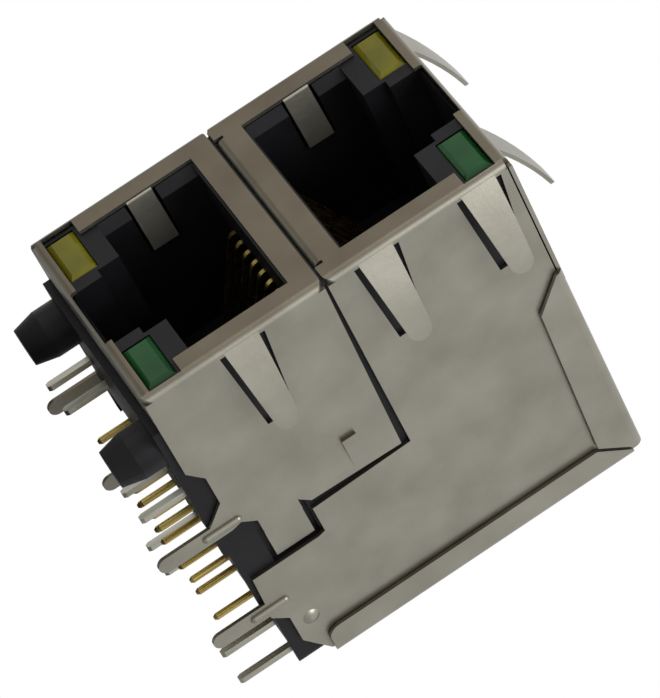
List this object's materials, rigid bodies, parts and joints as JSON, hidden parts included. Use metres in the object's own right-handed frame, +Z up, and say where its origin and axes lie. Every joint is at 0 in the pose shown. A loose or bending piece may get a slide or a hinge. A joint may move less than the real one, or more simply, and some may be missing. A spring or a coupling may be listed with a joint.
{
  "type": "rj45 board jack",
  "caption": "Stacked RJ45 board jack with a folded metal shield, spring fingers, corner indicator lights, board posts and through-board pins.",
  "frame": {"origin": "on the board's top surface, midway between the two plastic posts", "axes": "+Z up from the board, -Y out of the ports towards the plugs, +X to the right seen from the front"},
  "size_m": [0.021, 0.0278, 0.0321],
  "materials": {
    "housing": "black glass-filled nylon",
    "inner_plastic": "black moulded plastic",
    "shield": "warm grey plated sheet, rolled grain",
    "circuit_board": "green solder mask",
    "lens_yellow": "translucent yellow resin",
    "lens_green": "translucent green resin",
    "wound_core": "dark ferrite with enamelled wire",
    "tinned": "tinned wire",
    "gold": "gold plated"
  },
  "bodies": {
    "root": {"housing": "housing", "pin_base": "inner_plastic", "lower_shield": "shield", "upper_shield": "shield", "ground_plate": "shield", "carrier_lower": "inner_plastic", "carrier_upper": "inner_plastic", "board_lower": "circuit_board", "board_upper": "circuit_board", "lens_lower_left": "lens_yellow", "lens_lower_right": "lens_green", "lens_upper_left": "lens_yellow", "lens_upper_right": "lens_green", "core_1": "wound_core", "core_2": "wound_core", "core_3": "wound_core", "core_4": "wound_core", "lead_lower_1": "tinned", "lead_lower_2": "tinned", "lead_lower_3": "tinned", "lead_lower_4": "tinned", "lead_upper_1": "tinned", "lead_upper_2": "tinned", "lead_upper_3": "tinned", "lead_upper_4": "tinned", "contact_lower_1": "gold", "contact_lower_2": "gold", "contact_lower_3": "gold", "contact_lower_4": "gold", "contact_lower_5": "gold", "contact_lower_6": "gold", "contact_lower_7": "gold", "contact_lower_8": "gold", "contact_upper_1": "gold", "contact_upper_2": "gold", "contact_upper_3": "gold", "contact_upper_4": "gold", "contact_upper_5": "gold", "contact_upper_6": "gold", "contact_upper_7": "gold", "contact_upper_8": "gold", "pin_lower_1": "gold", "pin_lower_2": "gold", "pin_lower_3": "gold", "pin_lower_4": "gold", "pin_lower_5": "gold", "pin_lower_6": "gold", "pin_lower_7": "gold", "pin_lower_8": "gold", "pin_lower_9": "gold", "pin_upper_1": "gold", "pin_upper_2": "gold", "pin_upper_3": "gold", "pin_upper_4": "gold", "pin_upper_5": "gold", "pin_upper_6": "gold", "pin_upper_7": "gold", "pin_upper_8": "gold", "pin_upper_9": "gold"}
  },
  "joints": []
}
